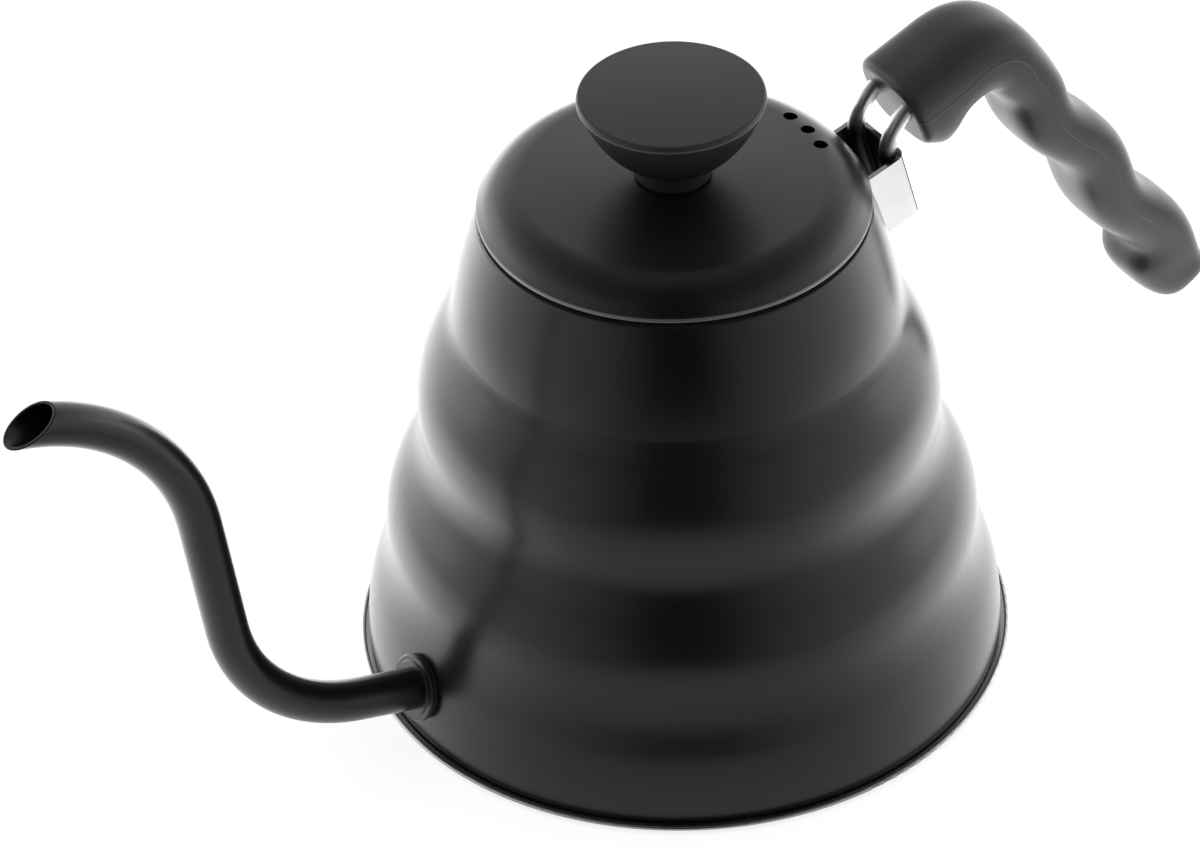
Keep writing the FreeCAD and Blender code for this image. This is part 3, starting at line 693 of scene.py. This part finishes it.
@dataclass(frozen=True)
class MouldedPlastic(Finish):
    """Matte moulded plastic or rubber with an eroded grain and edges worn a little smoother."""

    grain: float = 0.00028
    grain_depth: float = 0.00002
    grain_strength: float = 0.12
    rub_and_highlight: float = 0.25
    rub_width: float = 0.0008
    rub_patch: float = 0.005
    rub_gloss: float = 0.2
    deep: float = 0.9
    pale: float = 1.5
    tone_range: Range = (0.35, 0.65)
    gloss_range: Range = (0.3, 0.7)
    gloss_spread: float = 0.03
    skin: float = 0.0
    skin_roughness: float = 0.34

    def shade(self, bench: NodeBench, place: bpy.types.NodeSocket, shader: bpy.types.Node) -> None:
        """Adds the grain and the worn edges.

        Args:
            bench: the material's node bench.
            place: Object coordinates.
            shader: the Principled BSDF to feed.
        """
        grain = MouldGrain.place(bench, {"Vector": place, "Size": self.grain})
        drift = grain.outputs["Drift"]
        worn = EdgeWear.place(bench, {"Vector": place, "Width": self.rub_width, "Patch": self.rub_patch})
        rub = bench.math("MULTIPLY", worn.outputs["Mask"], self.rub_and_highlight)
        drifted = bench.span(drift, *self.tone_range)
        tone = bench.blend(drifted, opaque(self.colour, self.deep), opaque(self.colour))
        colour = bench.blend(rub, tone, opaque(self.colour, self.pale))
        matte = bench.span(drift, *self.gloss_range, *about(self.roughness, self.gloss_spread))
        gloss = bench.math("SUBTRACT", matte, bench.math("MULTIPLY", rub, self.rub_gloss))
        normal = bumped(bench, grain.outputs["Height"], self.grain_depth, self.grain_strength)
        feed(bench, shader, Base_Color=colour, Roughness=gloss, Normal=normal)
        feed(bench, shader, Coat_Weight=self.skin, Coat_Roughness=self.skin_roughness)


# The vessel's coat carries painted shade below the lid's rim and inside the bracket.
VESSEL_COAT = SatinCoat(
    "satin_black_vessel", (0.0026, 0.0026, 0.0027), 0.33, painted_shade_above=0.11545, bare_face=BareFace.TOWARD_AXIS
)
# The lid's coat carries a painted highlight on its rim.
LID_COAT = SatinCoat(
    "satin_black_lid", (0.0026, 0.0026, 0.0027), 0.33, highlight_radius=0.04295, bare_face=BareFace.UNDERSIDE
)
SPOUT_COAT = SatinCoat("satin_black_spout", (0.0026, 0.0026, 0.0027), 0.33)
PLATE_STEEL = BareSteel("spun_steel", (0.58, 0.58, 0.59), 0.26)
FITTING_STEEL = BareSteel("turned_steel", (0.55, 0.55, 0.56), 0.30, pitch=0.0003)
# The rods' lower ends, on the vessel's side, carry painted shade.
FRAME_STEEL = PolishedSteel("polished_frame", (0.92, 0.92, 0.93), 0.27, shade_below=0.1138)
# The bracket's inner faces carry painted shade.
BRACKET_STEEL = PolishedSteel("bracket_steel", (0.64, 0.64, 0.65), 0.06, shade_inside=True)
GRIP_PLASTIC = MouldedPlastic("moulded_grip", (0.026, 0.026, 0.0265), 0.42, skin=0.12)
# The flash is paler than the grip: a painted highlight along the parting line.
FLASH_HIGHLIGHT_PLASTIC = MouldedPlastic("flash_painted_highlight", (0.085, 0.085, 0.086), 0.36)
# The bead is paler than the knob: a painted highlight around its rim.
BEAD_HIGHLIGHT_PLASTIC = MouldedPlastic("bead_painted_highlight", (0.055, 0.055, 0.056), 0.32, grain=0.00035, skin=0.35)
KNOB_PLASTIC = MouldedPlastic("moulded_knob", (0.018, 0.018, 0.0185), 0.42, grain=0.00035, skin=0.08)
SEAL_RUBBER = MouldedPlastic("moulded_seal", (0.012, 0.012, 0.012), 0.62, grain=0.0004)
INSERT_BRASS = BareSteel("turned_brass", (0.72, 0.55, 0.26), 0.30, pitch=0.0003)


def dress(finish: Finish, *nodes: str) -> None:
    """Puts a finish on CAD nodes, through their material slots.

    Args:
        finish: what they are dressed in.
        nodes: the nodes' names.
    """
    for node in nodes:
        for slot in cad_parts[node].material_slots:
            slot.material = finish.material()
        LOG.info("%s: %s", node, finish.title)


def node_copy(node: str) -> bmesh.types.BMesh:
    """Copies a CAD node's mesh and merges its loose triangles.

    Args:
        node: the node's name.

    Returns:
        The copy, as a new bmesh.
    """
    mesh = bmesh.new()
    mesh.from_mesh(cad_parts[node].data)
    bmesh.ops.remove_doubles(mesh, verts=mesh.verts[:], dist=WELD_DISTANCE)
    return mesh


def sharp_edges(mesh: bmesh.types.BMesh, angle: float) -> list[bmesh.types.BMEdge]:
    """Edges whose two faces turn by more than this angle."""
    return [edge for edge in mesh.edges if edge.is_manifold and edge.calc_face_angle() > angle]


def piece(data: bpy.types.Mesh, finish: Finish, body: Body) -> bpy.types.Object:
    """Makes an object of the kettle.

    Args:
        data: its mesh, in place; the object takes its name.
        finish: what it is dressed in.
        body: the body it rides on.

    Returns:
        The new object.
    """
    made = bpy.data.objects.new(data.name, data)
    data.materials.clear()
    data.materials.append(finish.material())
    bpy.context.scene.collection.objects.link(made)
    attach(made, body.value)
    LOG.info("%s: %s, rides on %s", made.name, finish.title, body.value)
    return made


@dataclass
class Studio:
    """White sweep, soft side boxes, a dark front, and the camera at the photograph's angle."""

    camera_place: Vector = Vector((-0.5559, -0.8633, 0.8568))
    camera_aim: Vector = Vector((-0.01556, 0.00857, 0.05824))
    camera_roll: float = math.radians(-2.1)
    lens: float = 175.6
    sensor: float = 36.0
    far_clip: float = 50.0
    overhead: float = 1.15
    overhead_range: Range = (0.2, 0.9)
    floor_radius: float = 4.0
    floor_sides: int = 96
    floor_colour: Colour = (0.80, 0.80, 0.80)
    floor_shade: float = 0.40
    floor_glow: float = 1.29
    dark_front: float = 0.97
    side_level: float = 0.78
    top_level: float = 0.15
    mirror_range: Range = (0.25, 0.9)
    near_radius: Range = (0.17, 0.36)
    near_turn: Range = (0.95, -0.3)
    near_front: float = 0.44
    near_back: float = 1.9
    far_turn: Range = (0.1, -0.9)
    far_back: float = 2.2
    box_distance: float = 1.3
    box_height: float = 0.30
    box_size: tuple[float, float] = (1.1, 0.6)
    box_turn: float = math.radians(115)
    box_power: float = 1.5

    def heading(self) -> Vector:
        """Level unit vector from the kettle to the camera."""
        return Vector((self.camera_place.x, self.camera_place.y, 0.0)).normalized()

    def build(self) -> None:
        """Makes the camera, world, floor and side boxes."""
        self.make_camera()
        self.make_world()
        self.make_floor()
        for side in (-1, 1):
            self.make_box(side)
        bpy.context.scene.view_settings.view_transform = "Standard"

    def make_camera(self) -> None:
        """Makes the camera and sets it on the scene."""
        data = bpy.data.cameras.new("camera")
        data.lens = self.lens
        data.sensor_width = self.sensor
        data.clip_end = self.far_clip
        camera = bpy.data.objects.new("camera", data)
        turn = (self.camera_aim - self.camera_place).to_track_quat("-Z", "Y").to_matrix()
        place = turn @ Matrix.Rotation(self.camera_roll, 3, "Z")
        camera.matrix_world = Matrix.Translation(self.camera_place) @ place.to_4x4()
        bpy.context.scene.collection.objects.link(camera)
        bpy.context.scene.camera = camera

    def turned_front(self, bench: NodeBench, vector: bpy.types.NodeSocket) -> bpy.types.NodeSocket:
        """The cosine of the level angle between a direction or place and the camera's side."""
        return bench.vector_math("DOT_PRODUCT", bench.bearing(vector), tuple(self.heading()))

    def sweep_light(self, bench: NodeBench, front: bpy.types.NodeSocket) -> bpy.types.NodeSocket:
        """The level of the sweep in reflections: none behind the camera, most at the back."""
        away = bench.math("MAXIMUM", bench.math("SUBTRACT", self.dark_front, front), 0.0)
        return bench.math("MULTIPLY", bench.math("SQRT", away), self.side_level)

    def make_world(self) -> None:
        """Plain white light from above; the camera sees white, and gloss the sweep, dim overhead."""
        world = bpy.data.worlds.new("studio")
        world.use_nodes = True
        bench = NodeBench(world.node_tree)
        ray = bench.add("ShaderNodeTexCoord").outputs["Generated"]
        height = bench.along(ray, "Z")
        sweep = self.sweep_light(bench, self.turned_front(bench, ray))
        dimmed = bench.span(height, *self.mirror_range, 1.0, self.top_level)
        mirrored = bench.math("MULTIPLY", sweep, dimmed)
        light = bench.add("ShaderNodeLightPath").outputs
        seen = bench.math("MAXIMUM", light["Is Camera Ray"], light["Is Transmission Ray"])
        plain = bench.between(bench.span(height, *self.overhead_range), sweep, self.overhead)
        strength = bench.between(seen, bench.between(light["Is Glossy Ray"], plain, mirrored), 1.0)
        back = bench.add("ShaderNodeBackground", {"Color": (1.0, 1.0, 1.0, 1.0), "Strength": strength})
        bench.add("ShaderNodeOutputWorld", {"Surface": back.outputs[0]})
        bpy.context.scene.world = world

    def make_floor(self) -> None:
        """A round pale floor that keeps the kettle's shadow and runs out to white."""
        mesh = bmesh.new()
        bmesh.ops.create_circle(mesh, cap_ends=True, radius=self.floor_radius, segments=self.floor_sides)
        data = bpy.data.meshes.new("floor")
        mesh.to_mesh(data)
        mesh.free()
        floor = bpy.data.objects.new("floor", data)
        bpy.context.scene.collection.objects.link(floor)
        data.materials.append(self.floor_material())

    def floor_material(self) -> bpy.types.Material:
        """Makes the floor pale and matte, and in reflections brightest about the kettle.

        Returns:
            The material, which is nearly white to the camera.
        """
        made = bpy.data.materials.new("pale_floor")
        made.use_nodes = True
        bench = NodeBench(made.node_tree)
        place = bench.add("ShaderNodeTexCoord").outputs["Object"]
        front = self.turned_front(bench, place)
        near = bench.span(bench.vector_math("LENGTH", place), *self.near_radius, 1.0, 0.0)
        beside = bench.span(front, *self.near_turn, self.near_front, self.near_back)
        close = bench.math("MULTIPLY", near, beside)
        behind = bench.span(front, *self.far_turn, 1.0, self.far_back)
        sweep = bench.math("MULTIPLY", self.sweep_light(bench, front), behind)
        level = bench.math("MAXIMUM", close, sweep)
        mirrored = bench.add("ShaderNodeEmission", {"Strength": level}).outputs[0]
        glow = bench.add("ShaderNodeEmission", {"Strength": self.floor_glow}).outputs[0]
        lit = bench.add("ShaderNodeBsdfDiffuse", {"Color": opaque(self.floor_colour)}).outputs[0]
        white = bench.add("ShaderNodeMixShader", {0: self.floor_shade, 1: glow, 2: lit}).outputs[0]
        light = bench.add("ShaderNodeLightPath").outputs
        seen = bench.math("MAXIMUM", light["Is Camera Ray"], light["Is Transmission Ray"])
        shown = bench.add("ShaderNodeMixShader", {0: seen, 1: lit, 2: white}).outputs[0]
        both = bench.add("ShaderNodeMixShader", {0: light["Is Glossy Ray"], 1: shown, 2: mirrored})
        bench.add("ShaderNodeOutputMaterial", {"Surface": both.outputs[0]})
        return made

    def make_box(self, side: int) -> None:
        """Makes one soft box beside and behind the kettle.

        Args:
            side: -1 for the camera's left, 1 for its right.
        """
        data = bpy.data.lights.new("soft_box", "AREA")
        data.shape = "RECTANGLE"
        data.size, data.size_y = self.box_size
        data.energy = self.box_power
        box = bpy.data.objects.new("soft_box", data)
        way = Matrix.Rotation(side * self.box_turn, 3, "Z") @ self.heading()
        place = way * self.box_distance + Vector((0.0, 0.0, self.box_height))
        turn = (-place).to_track_quat("-Z", "Y").to_matrix().to_4x4()
        box.matrix_world = Matrix.Translation(place) @ turn
        box.visible_camera = False
        bpy.context.scene.collection.objects.link(box)


@dataclass
class Vessel:
    """The tiered body and its base plate."""

    def build(self) -> None:
        """Dresses the sheet body and the plate."""
        dress(VESSEL_COAT, "body_shell")
        dress(PLATE_STEEL, "base_plate")


@dataclass
class Spout:
    """The tube and what clamps it to the body."""

    def build(self) -> None:
        """Dresses the tube, collar, seal and lock ring."""
        dress(SPOUT_COAT, "spout_tube", "spout_collar")
        dress(SEAL_RUBBER, "spout_seal")
        dress(FITTING_STEEL, "spout_lock_ring")


@dataclass
class Handle:
    """Bracket, rods and the two grip halves with the parting line between them."""

    edge_break: float = 0.00018
    edge_segments: int = 2
    edge_angle: float = math.radians(40)
    flat_angle: float = math.radians(0.5)
    bead_radius: float = 0.00013
    bead_resolution: int = 1
    bead_side: float = 0.0095
    bead_clear: float = 0.085

    def build(self) -> None:
        """Makes the bracket and the parting line, and dresses the rest."""
        self.make_bracket()
        self.make_parting_line()
        dress(FRAME_STEEL, "handle_rod_left", "handle_rod_right")
        dress(FITTING_STEEL, "rod_tie_bar")
        dress(GRIP_PLASTIC, "grip_upper", "grip_lower")

    def make_bracket(self) -> None:
        """The folded channel with its cut edges broken, which stands for the CAD channel."""
        mesh = node_copy("handle_bracket")
        bmesh.ops.dissolve_limit(
            mesh, angle_limit=self.flat_angle, verts=mesh.verts[:], edges=mesh.edges[:]
        )
        for face in mesh.faces:
            face.smooth = True
        data = bpy.data.meshes.new("bracket_channel")
        mesh.to_mesh(data)
        mesh.free()
        channel = piece(data, BRACKET_STEEL, Body.KETTLE)
        edges = channel.modifiers.new("broken_edges", "BEVEL")
        edges.width = self.edge_break
        edges.segments = self.edge_segments
        edges.limit_method = "ANGLE"
        edges.angle_limit = self.edge_angle
        edges.harden_normals = True
        channel.modifiers.new("flat_faces", "WEIGHTED_NORMAL")
        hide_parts("handle_bracket")

    def on_seam(self, edge: bmesh.types.BMEdge) -> bool:
        """Whether a sharp edge of the upper half lies on the grip's outside, clear of the rods."""
        return all(abs(v.co.y) > self.bead_side or v.co.x > self.bead_clear for v in edge.verts)

    def seam_runs(self, mesh: bmesh.types.BMesh) -> list[list[Vector]]:
        """Walks the sharp edges where the halves part.

        Args:
            mesh: the upper half, merged.

        Returns:
            The points of each unbroken run, in order.
        """
        left = {edge for edge in sharp_edges(mesh, self.edge_angle) if self.on_seam(edge)}
        runs = []
        while left:
            edge = left.pop()
            run = list(edge.verts)
            for back in (False, True):
                if back:
                    run.reverse()
                onward = self.next_edge(run[-1], left)
                while onward:
                    left.discard(onward)
                    run.append(onward.other_vert(run[-1]))
                    onward = self.next_edge(run[-1], left)
            runs.append([vertex.co.copy() for vertex in run])
        return runs

    def next_edge(
        self, vertex: bmesh.types.BMVert, left: set[bmesh.types.BMEdge]
    ) -> bmesh.types.BMEdge | None:
        """The next unwalked edge at a vertex, if there is one."""
        return next((edge for edge in vertex.link_edges if edge in left), None)

    def make_parting_line(self) -> None:
        """The mould's fine flash where the two halves meet, paler than the grip as a painted highlight."""
        mesh = node_copy("grip_upper")
        curve = bpy.data.curves.new("parting_path", "CURVE")
        curve.dimensions = "3D"
        curve.bevel_depth = self.bead_radius
        curve.bevel_resolution = self.bead_resolution
        for run in self.seam_runs(mesh):
            spline = curve.splines.new("POLY")
            spline.points.add(len(run) - 1)
            for point, place in zip(spline.points, run):
                point.co = (*place, 1.0)
        mesh.free()
        path = bpy.data.objects.new("parting_path", curve)
        data = bpy.data.meshes.new_from_object(path)
        data.name = "grip_parting_line"
        bpy.data.objects.remove(path)
        piece(data, FLASH_HIGHLIGHT_PLASTIC, Body.KETTLE)


@dataclass
class Lid:
    """The lid with its locating ring, knob and knob fixing."""

    bead_radius: float = 0.02010
    bead_height: float = 0.14440
    bead_size: float = 0.00038
    bead_steps: int = 160
    bead_sides: int = 12

    def build(self) -> None:
        """Makes the knob's rim bead and dresses the lid's pieces."""
        self.make_bead()
        dress(LID_COAT, "lid_shell")
        dress(FITTING_STEEL, "lid_ring", "knob_washer", "knob_screw")
        dress(KNOB_PLASTIC, "lid_knob")
        dress(SEAL_RUBBER, "knob_spacer")
        dress(INSERT_BRASS, "knob_insert")

    def make_bead(self) -> None:
        """The fine raised line around the knob's rim, paler than the knob as a painted highlight."""
        mesh = bmesh.new()
        upright = Matrix.Translation((self.bead_radius, 0.0, self.bead_height)) @ Matrix.Rotation(
            math.radians(90), 4, "X"
        )
        circle = bmesh.ops.create_circle(
            mesh, radius=self.bead_size, segments=self.bead_sides, matrix=upright
        )
        ring = circle["verts"]
        edges = list({edge for vertex in ring for edge in vertex.link_edges})
        bmesh.ops.spin(
            mesh, geom=ring + edges, cent=(0.0, 0.0, 0.0), axis=(0.0, 0.0, 1.0),
            angle=math.tau, steps=self.bead_steps, use_merge=True,
        )
        bmesh.ops.remove_doubles(mesh, verts=mesh.verts[:], dist=WELD_DISTANCE)
        bmesh.ops.recalc_face_normals(mesh, faces=mesh.faces[:])
        for face in mesh.faces:
            face.smooth = True
        data = bpy.data.meshes.new("knob_rim_bead")
        mesh.to_mesh(data)
        mesh.free()
        piece(data, BEAD_HIGHLIGHT_PLASTIC, Body.LID)


def main() -> None:
    """Builds the studio and each sub-assembly in order."""
    logging.basicConfig(level=logging.INFO, format="%(name)s: %(message)s")
    for assembly in (Studio(), Vessel(), Spout(), Handle(), Lid()):
        assembly.build()
        LOG.info("%s done", type(assembly).__name__)


if __name__ == "__main__":
    main()
